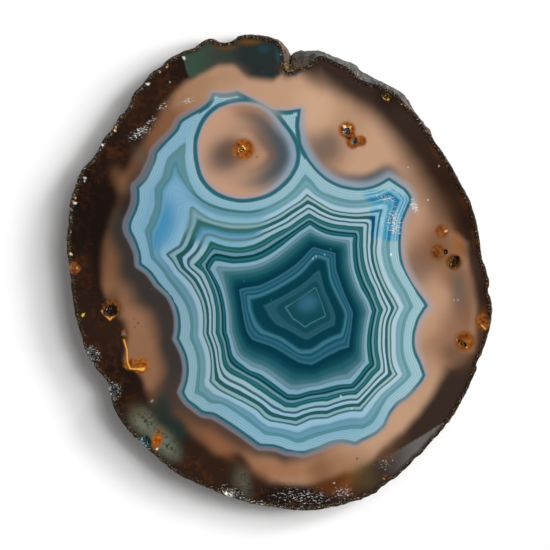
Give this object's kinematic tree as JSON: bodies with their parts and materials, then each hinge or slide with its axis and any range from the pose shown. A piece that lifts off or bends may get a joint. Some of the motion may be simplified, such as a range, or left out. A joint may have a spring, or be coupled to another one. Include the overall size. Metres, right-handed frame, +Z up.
{
  "type": "agate slice",
  "caption": "Thin sawn slice of a banded agate nodule with a polished face, a rough rind and a flat sawn back, for display or use as a coaster or tile.",
  "frame": {"origin": "centre of the slice's bounding box, on its sawn back", "axes": "+Z up out of the polished face, +Y along the slice's longest way across, towards the notch in the rind, +X to the right of it"},
  "size_m": [0.128, 0.143, 0.007],
  "materials": {
    "agate": "polished"
  },
  "bodies": {
    "root": {"agate_slice": "agate"}
  },
  "joints": []
}
